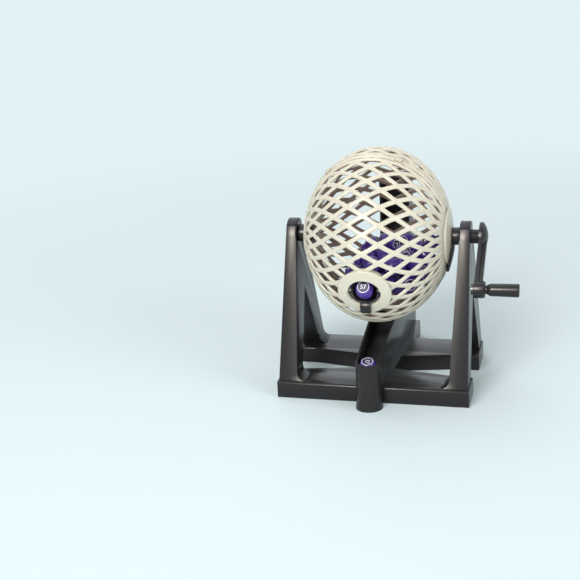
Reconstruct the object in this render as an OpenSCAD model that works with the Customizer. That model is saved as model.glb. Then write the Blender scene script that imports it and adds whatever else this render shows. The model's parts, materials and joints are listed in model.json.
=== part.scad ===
/* [Cage] */
// Outer diameter of the cage at its widest
cage_d = 190; // [180:1:200]
// Length of the cage's round form along the axle
cage_len = 160; // [154:1:166]
// Bars that lean each way around the cage
bars = 30; // [26:2:34]
// Row spaces of the lattice from hub to hub
rows = 12; // [10:2:12]
// Width of a lattice bar
bar_w = 4.7; // [4:0.1:5.4]
// Thickness of the cage's shell
shell_t = 3.5; // [3:0.1:4.5]
// Width of the plain rim along the seam of each half
rim_w = 8.5; // [6:0.5:10]
// Angle of the seam above the level front
seam_angle = 77; // [70:1:90]
// Distance from the middle to the flat seat of a hub plate
hub_seat_x = 74.3; // [72.9:0.1:75.2]
// Diameter of a hub plate
hub_d = 60; // [54:1:64]
// Height of a hub plate's dome over its seat
hub_h = 6; // [5:0.5:7.5]

/* [Ball port] */
// Angle of the port above the level front
port_angle = -22; // [-30:0.5:-10]
// Diameter of the port's plate
port_d = 56; // [55:1:62]
// Diameter of the port's hole
port_hole_d = 36.4; // [35.6:0.2:38]
// Thickness of the port's plate
port_t = 2.5; // [2:0.1:3]
// Depth of the gate's pivot under the cage's outside
gate_depth = 5; // [4:0.1:6.5]
// Width of the gate's tongue
tongue_w = 12.5; // [9:0.5:16]
// Length of the gate's tongue
tongue_len = 16; // [12:0.5:18]

/* [Balls] */
// Largest diameter of a calling ball
ball_d = 19; // [18:0.1:19.4]
// Height of a calling ball
ball_h = 21.5; // [20.5:0.1:22]
// Diameter of the flat number label on a ball
label_d = 13; // [11:0.5:14]
// Diameter of a ball's neck
neck_d = 13.4; // [12:0.2:14.4]
// Diameter of a ball's foot
foot_d = 14.6; // [13.4:0.2:15.4]
// Spacing of the balls in the heap
heap_pitch = 24.6; // [24:0.1:26]
// Depth of the heap's top under the axle, to ball centres
heap_top = 21; // [20:1:34]
// Slope of the heap's side away from the crank
heap_slope = 42; // [30:1:60]
// Distance from the middle to the top of that side
heap_start = 13; // [0:1:40]

/* [Stand] */
// Height of the axle over the table
axle_z = 167; // [164:1:175]
// Diameter of the axle
axle_d = 15; // [13:0.5:16]
// Length of the front and rear rails
rail_len = 209; // [206:1:219]
// Height of the rails
rail_h = 18.4; // [16:0.2:22]
// Depth of the front rail
front_rail_w = 39; // [34:1:44]
// Depth of the rear rail
rear_rail_w = 45; // [40:1:50]
// How much deeper the rails grow from the uprights to the spine
web_depth = 12; // [8:1:14]
// Depth of the stand from rail face to rail face
stand_depth = 143; // [138:1:150]
// Wall of the moulded rails, spine and uprights
wall_t = 2.4; // [2:0.1:3]
// Width of the spine at its front end
spine_front_w = 25; // [24:1:30]
// Width of the spine behind the rear rail
spine_rear_w = 46; // [44:1:54]

/* [Uprights] */
// Distance from the middle to an upright's outer face at its foot
upright_out_foot = 103.1; // [101.6:0.1:104.1]
// Distance from the middle to an upright's outer face at the axle
upright_out_top = 99.9; // [98.7:0.1:101.7]
// Distance from the middle to an upright's inner face at its foot
upright_in_foot = 82.5; // [79.5:0.5:84.5]
// Distance from the middle to an upright's inner face at the axle
upright_in_top = 88.7; // [87.9:0.1:89.8]
// Spread of an upright's legs at the rails
leg_spread = 135; // [130:1:138]
// Depth of an upright under the bearing cap
crown_w = 32.6; // [30:0.2:36]
// Spread of the gap between the legs at the rails
gap_spread = 85; // [78:1:92]
// Height of the top of the gap between the legs
gap_top_z = 105; // [95:1:115]

/* [Ball track] */
// Gap between the cage and the track's side walls
track_gap = 4; // [3.5:0.1:5]
// Depth of the track's channel
track_depth = 23; // [22.5:0.1:25]
// Thickness of the track's floor
track_t = 3; // [2:0.1:4]
// Thickness of the track's side walls
track_wall = 2.4; // [2:0.1:2.6]
// Slope of the track towards the front
track_slope = 8; // [7:0.5:10]
// Width of the track over the rear end of the stand
track_rear_w = 35.5; // [34:0.5:40]
// Height of the rear ball guide
guide_top_z = 205; // [195:1:215]
// Height of the joint between track and rear guide
guide_joint_z = 92; // [85:1:100]
// Diameter of the front cup
cup_d = 26.4; // [26:0.1:28]
// Height of the front cup
cup_z = 52.5; // [50:0.5:58]
// Distance from the axle to the cup's centre, towards the front
cup_y = 82.6; // [80:0.1:86]

/* [Crank] */
// Distance between the axle and the grip
crank_len = 69; // [60:1:76]
// Angle of the crank arm above the level front
crank_angle = -34; // [-60:1:0]
// Distance from the middle to the crank arm's inner face
crank_x = 109; // [107:0.5:117]
// Thickness of the crank arm over its rib
crank_t = 8; // [7:0.5:10]
// Thickness of the crank arm's plate beside its rib
arm_plate_t = 4; // [3:0.1:5]
// Height of the dome on the crank's boss
boss_dome_h = 5; // [3:0.2:6]
// Diameter of the crank's boss on the axle
boss_d = 31; // [26:0.5:33]
// Diameter of the crank's boss at the grip
tip_d = 18; // [15:0.5:19]
// Length of the crank's boss at the grip
tip_t = 11.5; // [9:0.5:14]
// Width of the crank arm at its boss on the axle
arm_boss_w = 20.2; // [16:0.2:23]
// Width of the crank arm at the grip
arm_tip_w = 13.6; // [11:0.2:14.4]
// Length of the grip
grip_len = 34; // [30:1:46]
// Largest diameter of the grip
grip_d = 14; // [12.5:0.5:16]
// Diameter of the pin in the grip
pin_d = 6; // [5:0.5:6.5]

/* [Hidden] */
$fn = 64;

// Clearances, and how far a cut runs past the face that it opens
running_gap = 0.06;
seat_gap = 0.2;
body_gap = 0.35;
over = 1;

// Colours
cream = [0.87, 0.84, 0.76];
black = [0.07, 0.06, 0.07];
violet = [0.28, 0.16, 0.55];
steel = [0.7, 0.7, 0.72];

// Cage form: a ball that is drawn in along the axle
cage_r = cage_d / 2;
half_len = cage_len / 2;
squash = cage_len / cage_d;
ball_seat_x = hub_seat_x / squash;
lattice_past_seat = 3.4;
end_lat = asin(hub_seat_x / half_len) + lattice_past_seat;
row_step = 2 * end_lat / rows;
bar_step = 360 / bars;
hub_r = hub_d / 2;
hub_face_x = hub_seat_x + hub_h;
axle_r = axle_d / 2;

// Port and gate, measured outward from the axle
plate_in = cage_r + seat_gap;
plate_out = plate_in + port_t;
pivot_z = cage_r - gate_depth;
lip_r = port_hole_d / 2;
lip_w = 2.8;
collar_in = lip_r + lip_w;
collar_t = 2;
collar_out = collar_in + collar_t;
collar_depth = 8;
collar_sink = 1;
port_cut_gap = 2.4;
port_cut_r = collar_out + port_cut_gap;
ball_r = ball_d / 2;
shoulder_spare = 0.1;
ball_reach = norm([ball_h, label_d]) / 2 + shoulder_spare;
scoop_in = ball_reach + body_gap;
scoop_t = 1.8;
scoop_out = scoop_in + scoop_t;
scoop_half = ball_r + body_gap;
cheek_t = 1;
scoop_from = 62;
scoop_to = 215;
gate_pin_r = 1.6;
port_ball_lean = 60;

// Stand
front_y = -stand_depth / 2;
rear_y = stand_depth / 2;
edge_round = 2.5;
rib_w = 3;
upright_top_z = axle_z;
cap_swell = 0.3;
cap_r = crown_w / 2 + cap_swell;
stub_h = 8;
cap_pin_r = 1.6;
cap_pin_h = 5;
cap_pin_x = (upright_in_top + upright_out_top) / 2;
cap_pin_y = (axle_r + cap_r) / 2;
gusset_r = 9;

// Track: an arc around the cage, then a straight ramp down to the cup
track_in_r = cage_r + track_gap;
floor_r = track_in_r + track_depth;
under_r = floor_r + track_t;
cup_r = cup_d / 2;
cup_bore_r = cup_r - track_wall;
track_front_step = 1.6;
track_front_w = cup_d - track_front_step;
ramp_len = (cup_y + floor_r * sin(track_slope)) / cos(track_slope);
cup_floor_z = axle_z - floor_r * cos(track_slope) - ramp_len * sin(track_slope);
tail_y = under_r;
bend_step = 0.05;
cup_flare = 1.6;
cup_flare_h = 12;

// Crank
boss_r = boss_d / 2;
boss_edge_t = 3.6;
boss_dome_r = (boss_r * boss_r + boss_dome_h * boss_dome_h) / 2 / boss_dome_h;
arm_rib_w = 5;
stub_cover = 2;
stub_step = 1.5;
stub_r = axle_r - stub_step;
boss_collar_step = 2;
boss_collar_r = axle_r + boss_collar_step;
screw_r = 2;
screw_head_r = 4;
screw_head_h = 2.6;
screw_sink_r = screw_head_r + body_gap;
screw_sunk = 0.6;
screw_seat = boss_edge_t + boss_dome_h - screw_sunk - screw_head_h;
screw_seat_x = crank_x + screw_seat;
stub_end_x = screw_seat_x - stub_cover;
screw_depth = 11;
screw_slot = 1;
pin_r = pin_d / 2;
grip_r = grip_d / 2;
tip_r = tip_d / 2;
tip_round = 2.4;
grip_x = crank_x + tip_t + body_gap;
grip_end_x = grip_x + grip_len;
pin_head_step = 1.6;
pin_head_r = pin_r + pin_head_step;
pin_head_h = 2;
pin_back_step = 2.4;
pin_back_h = 3;

// Places and directions
module about_axle() {
    translate([0, 0, axle_z]) children();
}

// Turns the level front direction to an angle above it
module at_angle(angle) {
    about_axle() rotate([-angle, 0, 0]) children();
}

// Z runs out along the port's axis, and Y up along its plate
module at_port() {
    at_angle(port_angle) rotate([90, 0, 0]) children();
}

// Draws a side outline of Y and Z through a width along the axle
module along_x(width) {
    rotate([90, 0, 90]) linear_extrude(width, center = true) children();
}

// Round bar along the axle's direction between two distances
module bar_x(r, from, to) {
    translate([from, 0, 0]) rotate([0, 90, 0]) cylinder(r = r, h = to - from);
}

module mirrored_x(side) {
    if (side < 0) {
        mirror([1, 0, 0]) children();
    } else {
        children();
    }
}

// Lattice of the cage, as a round ball before it is drawn in
function ball_pt(lat, lon, r) = [r * sin(lat), r * cos(lat) * sin(lon), r * cos(lat) * cos(lon)];
function row_lat(i) = -end_lat + i * row_step;
function node_lon(i, j) = (j + (i % 2) / 2) * bar_step;
function node_at(i, j) = i * bars + (j + bars) % bars;

// Share of a cell that its opening takes, so that the bars keep their width
function cell_tall() = cage_r * squash * row_step * PI / 180;
function cell_wide(i) = cage_r * cos(row_lat(i)) * bar_step * PI / 360;
function cell_edge(i) = cell_tall() * cell_wide(i) / norm([cell_tall(), cell_wide(i)]);
least_open = 0.12;
function open_share(i) = max(least_open, 1 - bar_w / 2 / cell_edge(i));

// Opening corners of a cell: left, top, right, bottom
corner_lat = [0, 1, 0, -1];
corner_lon = [-0.5, 0, 0.5, 0];
function cell_lon(i, j) = node_lon(i, j) + bar_step / 2;
function corner_pt(i, j, k, r) = ball_pt(
    row_lat(i) + corner_lat[k] * row_step * open_share(i),
    cell_lon(i, j) + corner_lon[k] * bar_step * open_share(i), r);
function cell_nodes(i, j) = [
    node_at(i, j), node_at(i + 1, j + i % 2), node_at(i, j + 1), node_at(i - 1, j + i % 2)
];

lattice_nodes = (rows + 1) * bars;
lattice_cells = (rows - 1) * bars;
function cell_corner(i, j, k) = 2 * lattice_nodes + ((i - 1) * bars + j) * 4 + k % 4;
function two_triangles(a, b, c, d) = [[a, b, c], [a, c, d]];

// Skin quads of one cell, outside and inside, and the walls of its opening
function cell_faces(i, j) = let (
    n = cell_nodes(i, j), deep = lattice_nodes, hole = 4 * lattice_cells
) [
    for (k = [0:3]) let (
        a = n[k], b = n[(k + 1) % 4], c = cell_corner(i, j, k + 1), d = cell_corner(i, j, k)
    ) each concat(
        two_triangles(a, d, c, b),
        two_triangles(a + deep, b + deep, c + hole, d + hole),
        two_triangles(d, d + hole, c + hole, c))
];

// Solid teeth that close the lattice at each end
function end_faces(i, j) = let (
    low = i == 0, a = node_at(i, j), b = node_at(i, j + 1),
    c = node_at(low ? i + 1 : i - 1, j + i % 2), deep = lattice_nodes,
    tooth = low ? [a, b, c] : [a, c, b]
) concat(
    [[tooth[0], tooth[1], tooth[2]]],
    [[tooth[0] + deep, tooth[2] + deep, tooth[1] + deep]],
    low ? two_triangles(a, a + deep, b + deep, b) : two_triangles(a, b, b + deep, a + deep));

module lattice_ball() {
    inner_r = cage_r - shell_t;
    points = concat(
        [for (r = [cage_r, inner_r], i = [0:rows], j = [0:bars - 1]) ball_pt(row_lat(i), node_lon(i, j), r)],
        [for (r = [cage_r, inner_r], i = [1:rows - 1], j = [0:bars - 1], k = [0:3]) corner_pt(i, j, k, r)]);
    faces = concat(
        [for (i = [1:rows - 1], j = [0:bars - 1]) each cell_faces(i, j)],
        [for (i = [0, rows], j = [0:bars - 1]) each end_faces(i, j)]);
    polyhedron(points = points, faces = faces);
}

// Plain rim that stiffens a half along the seam, behind the seam plane
module seam_rim() {
    rotate([90, 0, 0]) difference() {
        cylinder(r = cage_r, h = rim_w);
        translate([0, 0, -over]) cylinder(r = cage_r - shell_t, h = rim_w + 2 * over);
    }
}

// Round hole for the port, widened so that drawing in makes it round
module port_opening() {
    rotate([seam_angle - port_angle, 0, 0])
        scale([1 / squash, 1, 1]) cylinder(r = port_cut_r, h = cage_d);
}

// One half of the cage: the front half holds the port
module cage_half(front) {
    turn = front ? 0 : 180;
    at_angle(seam_angle - 90) resize([2 * hub_seat_x, 0, 0]) difference() {
        intersection() {
            union() {
                lattice_ball();
                rotate([turn, 0, 0]) seam_rim();
            }
            rotate([turn, 0, 0]) translate([-ball_seat_x, -cage_d - seat_gap / 2, -cage_d])
                cube([2 * ball_seat_x, cage_d, 2 * cage_d]);
        }
        if (front) port_opening();
    }
}

module cage_front_half() {
    color(cream) cage_half(true);
}

module cage_rear_half() {
    color(cream) cage_half(false);
}

// Snap clips that hold the halves together across the seam
clip_x = [-48, 27];
clip_len = 9;
clip_w = 6;
clip_t = 2.2;
clip_sink = 0.4;
function surface_r(x) = cage_r * sqrt(1 - pow(x / half_len, 2));
function surface_slope(x) = atan2(cage_r * x / half_len / half_len, sqrt(1 - pow(x / half_len, 2)));

module seam_clips() {
    color(cream) for (angle = [seam_angle, seam_angle + 180], x = clip_x)
        at_angle(angle - 90) translate([x, 0, surface_r(x) - clip_sink]) rotate([0, surface_slope(x), 0])
            translate([-clip_len / 2, -clip_w / 2, 0]) cube([clip_len, clip_w, clip_t]);
}

// Domed plate on a flat seat at an end of the cage
hub_edge_h = 2;
dome_rise = hub_h - hub_edge_h;
dome_r = (hub_r * hub_r + dome_rise * dome_rise) / 2 / dome_rise;
hub_bore_r = axle_r + running_gap;

function dome_at(r) = hub_h - dome_r + sqrt(dome_r * dome_r - r * r);
function hub_outline() = concat(
    [[hub_bore_r, 0], [hub_r, 0]],
    [for (k = [0:8]) let (r = hub_r + k / 8 * (hub_bore_r - hub_r)) [r, dome_at(r)]]);

module hub_plate(side) {
    mirrored_x(side) about_axle() translate([hub_seat_x, 0, 0]) rotate([0, 90, 0])
        rotate_extrude() polygon(hub_outline());
}

module left_hub_plate() {
    color(cream) hub_plate(-1);
}

module right_hub_plate() {
    color(cream) hub_plate(1);
}

// Flange inside the cage and collar outside it, which clamp a hub plate
flange_w = 8;
flange_r = axle_r + flange_w;
flange_t = 2.5;
flange_x = hub_seat_x - flange_t - running_gap;
axle_proud = 1;
collar_end_x = lean(upright_in_foot, upright_in_top, axle_z - boss_collar_r) - body_gap;

module axle_flanges() {
    bar_x(flange_r, flange_x, flange_x + flange_t);
    bar_x(boss_collar_r, hub_face_x + running_gap, collar_end_x);
}

module left_axle() {
    color(black) mirror([1, 0, 0]) about_axle() {
        axle_flanges();
        bar_x(axle_r, flange_x, upright_out_top + axle_proud);
    }
}

// Axle on the crank side, with a finger that lies on the hub plate and drives the cage
finger_w = 8;
finger_t = 2.4;
hook_len = 8;
finger_reach = hub_r + hook_len;
finger_turn = 40;
finger_angle = crank_angle - finger_turn;

module drive_spider() {
    color(black) about_axle() {
        difference() {
            union() {
                axle_flanges();
                bar_x(axle_r, flange_x, crank_x);
                bar_x(stub_r, crank_x - over, stub_end_x);
            }
            bar_x(screw_r, crank_x - screw_depth - over, screw_seat_x);
        }
        rotate([-finger_angle, 0, 0]) spider_finger();
    }
}

// Arm along the hub plate's dome, with a hook over the plate's rim
function on_dome(r, lift) = [hub_seat_x + dome_at(r) + seat_gap + lift, -r];

module spider_finger() {
    low_x = hub_seat_x + seat_gap;
    rim_y = -hub_r - seat_gap;
    linear_extrude(finger_w, center = true) polygon(concat(
        [for (k = [0:8]) on_dome(hub_r * k / 8, 0)],
        [[on_dome(hub_r, 0).x, rim_y], [low_x, rim_y]],
        [[low_x, -finger_reach], [low_x + finger_t, -finger_reach]],
        [for (k = [8:-1:0]) on_dome(hub_r * k / 8, finger_t)]));
}

// Round plate in the front half, with a collar that carries the gate
slit_w = 1.6;
lip_t = 0.4;
collar_top_z = sqrt(plate_in * plate_in - collar_in * collar_in) - lip_t;

module port_plate() {
    color(cream) at_port() difference() {
        union() {
            difference() {
                intersection() {
                    sphere(r = plate_out);
                    cylinder(r = port_d / 2, h = cage_d);
                }
                sphere(r = plate_in);
            }
            translate([0, 0, pivot_z - collar_depth])
                cylinder(r = collar_out, h = collar_depth + gate_depth - collar_sink);
        }
        cylinder(r = lip_r, h = cage_d);
        cylinder(r = collar_in, h = collar_top_z);
        translate([0, 0, pivot_z]) bar_x(gate_pin_r + running_gap, -collar_out - over, collar_out + over);
        translate([-collar_out, -slit_w / 2, pivot_z]) cube([2 * collar_out, slit_w, cage_d]);
    }
}

// Points of a fan that spans from one angle to another about the pivot
function fan(from, to, r) = concat([[0, 0]], [
    for (k = [0:6]) let (a = from + k * (to - from) / 6) [-r * sin(a), r * cos(a)]
]);

// Scoop that holds one ball, with a tongue that reaches out over the plate
tongue_t = 1.8;
tongue_rise = 26;
tongue_root = 0.6;

module ball_gate() {
    color(black) at_port() translate([0, 0, pivot_z]) {
        difference() {
            along_x(2 * (scoop_half + cheek_t)) intersection() {
                circle(r = scoop_out);
                polygon(fan(scoop_from, scoop_to, 2 * scoop_out));
            }
            along_x(2 * scoop_half) circle(r = scoop_in);
        }
        for (side = [-1, 1]) mirrored_x(side) {
            bar_x(2 * gate_pin_r, scoop_half, scoop_half + cheek_t);
            bar_x(gate_pin_r, scoop_half, collar_out);
        }
        gate_tongue();
    }
}

module gate_tongue() {
    root_r = (scoop_in + scoop_out) / 2;
    translate([0, -root_r * sin(scoop_from), root_r * cos(scoop_from)]) rotate([-tongue_rise, 0, 0])
        translate([-tongue_w / 2, -tongue_len, -tongue_t / 2])
            cube([tongue_w, tongue_len + tongue_root, tongue_t]);
}

// Calling ball: a rounded foot, a neck and a barrel with a flat label, about its middle
foot_h = 5;
foot_round = 2.4;
belly_power = 0.7;

function belly(t) = pow(sin(180 * t), belly_power);
function ball_outline() = let (
    low = -ball_h / 2, neck_z = low + foot_h, top = ball_h / 2, end_r = label_d / 2,
    foot_r = foot_d / 2, swell = ball_r - (neck_d + label_d) / 4
) concat(
    [[0, low]],
    [for (k = [0:4]) [
        foot_r - foot_round + foot_round * sin(k * 22.5), low + foot_round - foot_round * cos(k * 22.5)]],
    [for (k = [0:8]) let (t = k / 8) [
        neck_d / 2 * (1 - t) + end_r * t + swell * belly(t), neck_z + t * (top - neck_z)]],
    [[0, top]]);

module calling_ball() {
    rotate_extrude() polygon(ball_outline());
}

// Ball that the gate holds in the port
module port_ball() {
    color(violet) at_port() translate([0, 0, pivot_z]) rotate([-port_ball_lean, 0, 0]) calling_ball();
}

// Heap of balls in the cage, on close-packed places that clear the turning port and the axle's flanges
heap_x = heap_pitch;
heap_y = heap_pitch * sqrt(3) / 2;
heap_z = heap_pitch * sqrt(2 / 3);
heap_span = 3;
heap_layers = 4;
turn_i = [67, 0, 37];
turn_j = [41, 53, 0];
turn_k = [90, 29, 0];
swept_r = pivot_z - scoop_out - body_gap - ball_reach;
swept_half = collar_out + body_gap + ball_reach;
inside_r = cage_r - shell_t - body_gap - ball_reach;
inside_half = half_len - shell_t - body_gap - ball_reach;

function odd(n) = abs(n) % 2;
function heap_place(i, j, k) = [
    (i + odd(j) / 2 + odd(k) / 2) * heap_x,
    (j + odd(k) / 3) * heap_y,
    -heap_top - k * heap_z
];
function in_heap(p) = p.z < (p.x + heap_start) * tan(heap_slope) - heap_top;
function in_cage(p) = pow(p.x / inside_half, 2) + pow(norm([p.y, p.z]) / inside_r, 2) < 1;
function clear_of_port(p) = abs(p.x) > swept_half || norm([p.y, p.z]) < swept_r;
function clear_of_flange(p) = let (room = ball_reach + body_gap)
    abs(p.x) < flange_x - room || norm([p.y, p.z]) > flange_r + room;

module calling_balls() {
    color(violet) about_axle()
        for (i = [-heap_span:heap_span], j = [-heap_span:heap_span], k = [0:heap_layers - 1])
            let (p = heap_place(i, j, k))
                if (in_heap(p) && in_cage(p) && clear_of_port(p) && clear_of_flange(p))
                    translate(p) rotate(turn_i * i + turn_j * j + turn_k * k) calling_ball();
}

// Ball that has rolled down into the front cup, where it leans on the front wall
called_lift = 0.3;
called_lean = 16;
called_tip = called_lean - track_slope;
foot_flat_r = foot_d / 2 - foot_round;
called_reach = (ball_h / 2 - foot_round) * cos(called_tip) + foot_flat_r * sin(called_tip) + foot_round;

module called_ball() {
    color(violet) translate([0, -cup_y, cup_floor_z + (called_reach + called_lift) / cos(track_slope)])
        rotate([called_lean, 0, 0]) calling_ball();
}

// Outline of a rail or spine from its side, with rounded top edges
function round_top(from, to, h, r) = concat(
    [[from, 0]],
    [for (k = [0:4]) [from + r - r * cos(k * 22.5), h - r + r * sin(k * 22.5)]],
    [for (k = [0:4]) [to - r + r * sin(k * 22.5), h - r + r * cos(k * 22.5)]],
    [[to, 0]]);

module rail(from, to) {
    difference() {
        along_x(rail_len) polygon(round_top(from, to, rail_h, edge_round));
        translate([-rail_len / 2 + wall_t, from + wall_t, -over])
            cube([rail_len - 2 * wall_t, to - from - 2 * wall_t, rail_h - wall_t + over]);
    }
}

// Plan of the spine, narrow in front and wide behind, drawn in by a wall
function spine_plan(inset) = [
    [-spine_front_w / 2 + inset, front_y + wall_t], [spine_front_w / 2 - inset, front_y + wall_t],
    [spine_rear_w / 2 - inset, rear_y], [spine_rear_w / 2 - inset, tail_y - inset],
    [-spine_rear_w / 2 + inset, tail_y - inset], [-spine_rear_w / 2 + inset, rear_y]
];

module spine() {
    difference() {
        linear_extrude(rail_h) polygon(spine_plan(0));
        translate([0, 0, -over]) linear_extrude(rail_h - wall_t + over) polygon(spine_plan(wall_t));
    }
    translate([-rib_w / 2, front_y + wall_t, 0])
        cube([rib_w, tail_y - front_y - 2 * wall_t, rail_h - wall_t]);
}

// Half of the spine's width at a distance behind the axle
function spine_half(y) = let (
    t = (y - front_y - wall_t) / (rear_y - front_y - wall_t)
) (spine_front_w * (1 - t) + spine_rear_w * t) / 2;

// Plan of a web beside the spine, from a rail's inner edge towards the other rail, and of the hollow under it
web_lap = 2;
web_spare = 0.6;

function web_plan(edge_y, inward) = let (
    root_y = edge_y - inward * web_lap,
    tip_y = edge_y + inward * web_depth
) [
    [spine_half(root_y) - wall_t / 2, root_y], [foot_mid_x, root_y],
    [spine_half(tip_y) - wall_t / 2, tip_y]
];

function web_hollow(edge_y, inward) = let (
    root_y = edge_y + inward * web_spare,
    tip_y = edge_y + inward * (web_depth - wall_t - web_spare),
    share = (web_lap + wall_t + 2 * web_spare) / (web_lap + web_depth)
) [
    [spine_half(root_y) + web_spare, root_y],
    [foot_mid_x - share * (foot_mid_x - spine_half(tip_y)), root_y],
    [spine_half(tip_y) + web_spare, tip_y]
];

module rail_webs() {
    for (side = [-1, 1], edge = [[front_y + front_rail_w, 1], [rear_y - rear_rail_w, -1]])
        mirrored_x(side) difference() {
            linear_extrude(rail_h) polygon(web_plan(edge[0], edge[1]));
            translate([0, 0, -over]) linear_extrude(rail_h - wall_t + over)
                polygon(web_hollow(edge[0], edge[1]));
        }
}

// Stubs on the rails that stand inside the hollow feet of the uprights
foot_mid_y = (leg_spread + gap_spread) / 4;
foot_mid_x = (upright_out_foot + upright_in_foot) / 2;
stub_slack_x = 3;
stub_slack_y = 8;
stub_shift = 2.4;
stub_x = upright_out_foot - upright_in_foot - 2 * wall_t - stub_slack_x;
stub_y = (leg_spread - gap_spread) / 2 - 2 * wall_t - stub_slack_y;

module upright_stubs() {
    for (x = [-foot_mid_x, foot_mid_x], y = [-foot_mid_y, foot_mid_y])
        translate([x - stub_x / 2, y - sign(y) * stub_shift - stub_y / 2, rail_h - over])
            cube([stub_x, stub_y, stub_h + over]);
}

module base_frame() {
    color(black) {
        rail(front_y, front_y + front_rail_w);
        rail(rear_y - rear_rail_w, rear_y);
        spine();
        rail_webs();
        upright_stubs();
    }
}

// Side outline of all that lies on the cage's side of the channel at a radius.
// The straight runs meet the arc a hair inside it, so that they cross it and don't only touch it.
module track_space(r) {
    far = 3 * r;
    run_r = r - bend_step;
    translate([0, axle_z]) {
        circle(r = r);
        translate([-far, 0]) square([far + run_r, far]);
        rotate(track_slope) translate([-far, -run_r]) square([far, 2 * run_r]);
    }
}

// Plan of the channel, from the cup to the rear guide
function track_plan(inset, rear_inset) = [
    [-track_front_w / 2 + inset, -cup_y], [track_front_w / 2 - inset, -cup_y],
    [track_rear_w / 2 - inset, tail_y - rear_inset], [-track_rear_w / 2 + inset, tail_y - rear_inset]
];

module in_track_plan(inset, rear_inset) {
    intersection() {
        along_x(2 * track_rear_w) children();
        linear_extrude(2 * guide_top_z) polygon(track_plan(inset, rear_inset));
    }
}

// Space that a ball runs in
module channel_space() {
    in_track_plan(track_wall, -over) intersection() {
        track_space(floor_r);
        translate([-cup_y, 0]) square([cup_y + floor_r, 2 * guide_top_z]);
    }
}

// Hollow between the side walls, under the channel's floor
module under_space() {
    in_track_plan(track_wall, track_t) difference() {
        translate([front_y + track_wall, rail_h - over]) square([tail_y - front_y, axle_z - rail_h]);
        track_space(under_r);
    }
}

module whole_track() {
    difference() {
        in_track_plan(0, 0) difference() {
            translate([-cup_y, rail_h]) square([cup_y + tail_y, guide_top_z - rail_h]);
            track_space(track_in_r);
        }
        channel_space();
        under_space();
    }
}

// Half-round cup in front of the stand, where a called ball comes to rest
module front_cup() {
    translate([0, -cup_y, 0]) {
        cylinder(r = cup_r, h = cup_z);
        cylinder(r1 = cup_r + cup_flare, r2 = cup_r, h = cup_flare_h);
    }
}

module cup_spaces() {
    intersection() {
        translate([0, -cup_y, 0]) cylinder(r = cup_bore_r, h = 2 * cup_z);
        along_x(2 * cup_d) track_space(floor_r);
    }
    translate([0, -cup_y, -over])
        cylinder(r = cup_bore_r, h = cup_floor_z - cup_r * tan(track_slope) - track_t);
    translate([-cup_d, front_y - seat_gap, -over]) cube([2 * cup_d, cup_d, rail_h + over]);
}

module track_slice(from_z, to_z) {
    intersection() {
        whole_track();
        translate([-track_rear_w, -2 * cup_y, from_z]) cube([2 * track_rear_w, 4 * tail_y, to_z - from_z]);
    }
}

module ball_track() {
    color(black) difference() {
        union() {
            track_slice(0, guide_joint_z);
            front_cup();
        }
        cup_spaces();
        channel_space();
    }
}

module rear_ball_guide() {
    color(black) track_slice(guide_joint_z, guide_top_z + over);
}

// Uprights: hollow frames on two legs, widest at the rails
function leg_half(z, inset) = let (
    t = (z - rail_h) / (upright_top_z - rail_h)
) (leg_spread / 2) * (1 - t) + (crown_w / 2) * t - inset;
function gap_half(z, inset) = (gap_spread / 2) * (gap_top_z - z) / (gap_top_z - rail_h) + inset;

leg_slant = 1.3;
sliver = 0.01;
bearing_block = 8;

module side_outline(inset, top) {
    grow = leg_slant * inset;
    difference() {
        polygon([
            [-leg_half(rail_h, grow), rail_h], [leg_half(rail_h, grow), rail_h],
            [leg_half(top, grow), top], [-leg_half(top, grow), top]
        ]);
        polygon([
            [-gap_half(rail_h - over, grow), rail_h - over], [gap_half(rail_h - over, grow), rail_h - over],
            [0, gap_top_z + 2 * grow]
        ]);
    }
}

// Front outline of the right upright, with a rounded foot towards the cage
function lean(foot, top, z) = foot + (top - foot) * (z - rail_h) / (axle_z - rail_h);
function front_outline(inset) = concat(
    [[upright_out_foot - inset, rail_h], [upright_out_top - inset, axle_z], [upright_in_top + inset, axle_z]],
    [for (k = [0:5]) let (a = 18 * k) [
        lean(upright_in_foot, upright_in_top, rail_h + gusset_r) - gusset_r * (1 - cos(a)) + inset,
        rail_h + gusset_r - gusset_r * sin(a)]]);

module through_y() {
    rotate([90, 0, 0]) linear_extrude(2 * leg_spread, center = true) children();
}

module upright(side) {
    cavity_top = axle_z - axle_d - bearing_block;
    mirrored_x(side) difference() {
        intersection() {
            along_x(3 * upright_out_foot) side_outline(0, upright_top_z);
            through_y() polygon(front_outline(0));
        }
        intersection() {
            translate([0, 0, -sliver]) along_x(3 * upright_out_foot) side_outline(wall_t, cavity_top);
            through_y() polygon(front_outline(wall_t));
        }
        about_axle() bar_x(axle_r + running_gap, 0, 2 * upright_out_foot);
        for (y = [-cap_pin_y, cap_pin_y])
            translate([cap_pin_x, y, axle_z - cap_pin_h - seat_gap])
                cylinder(r = cap_pin_r + running_gap, h = cap_pin_h + over);
    }
}

module left_upright() {
    color(black) upright(-1);
}

module right_upright() {
    color(black) upright(1);
}

// Side outline of a cap, whose flanks run on from the legs
module cap_outline() {
    top = axle_z + cap_r + over;
    polygon([
        [-leg_half(axle_z, 0), axle_z], [leg_half(axle_z, 0), axle_z],
        [leg_half(top, 0), top], [-leg_half(top, 0), top]
    ]);
}

// Round-topped cap that closes the bearing from above
module bearing_cap(side) {
    mirrored_x(side) {
        difference() {
            intersection() {
                about_axle() bar_x(cap_r, upright_in_top, upright_out_top);
                along_x(3 * upright_out_foot) cap_outline();
            }
            about_axle() bar_x(axle_r + running_gap, 0, 2 * upright_out_top);
        }
        about_axle() for (y = [-cap_pin_y, cap_pin_y])
            translate([cap_pin_x, y, -cap_pin_h]) cylinder(r = cap_pin_r, h = cap_pin_h + over);
    }
}

module left_bearing_cap() {
    color(black) bearing_cap(-1);
}

module right_bearing_cap() {
    color(black) bearing_cap(1);
}

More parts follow.
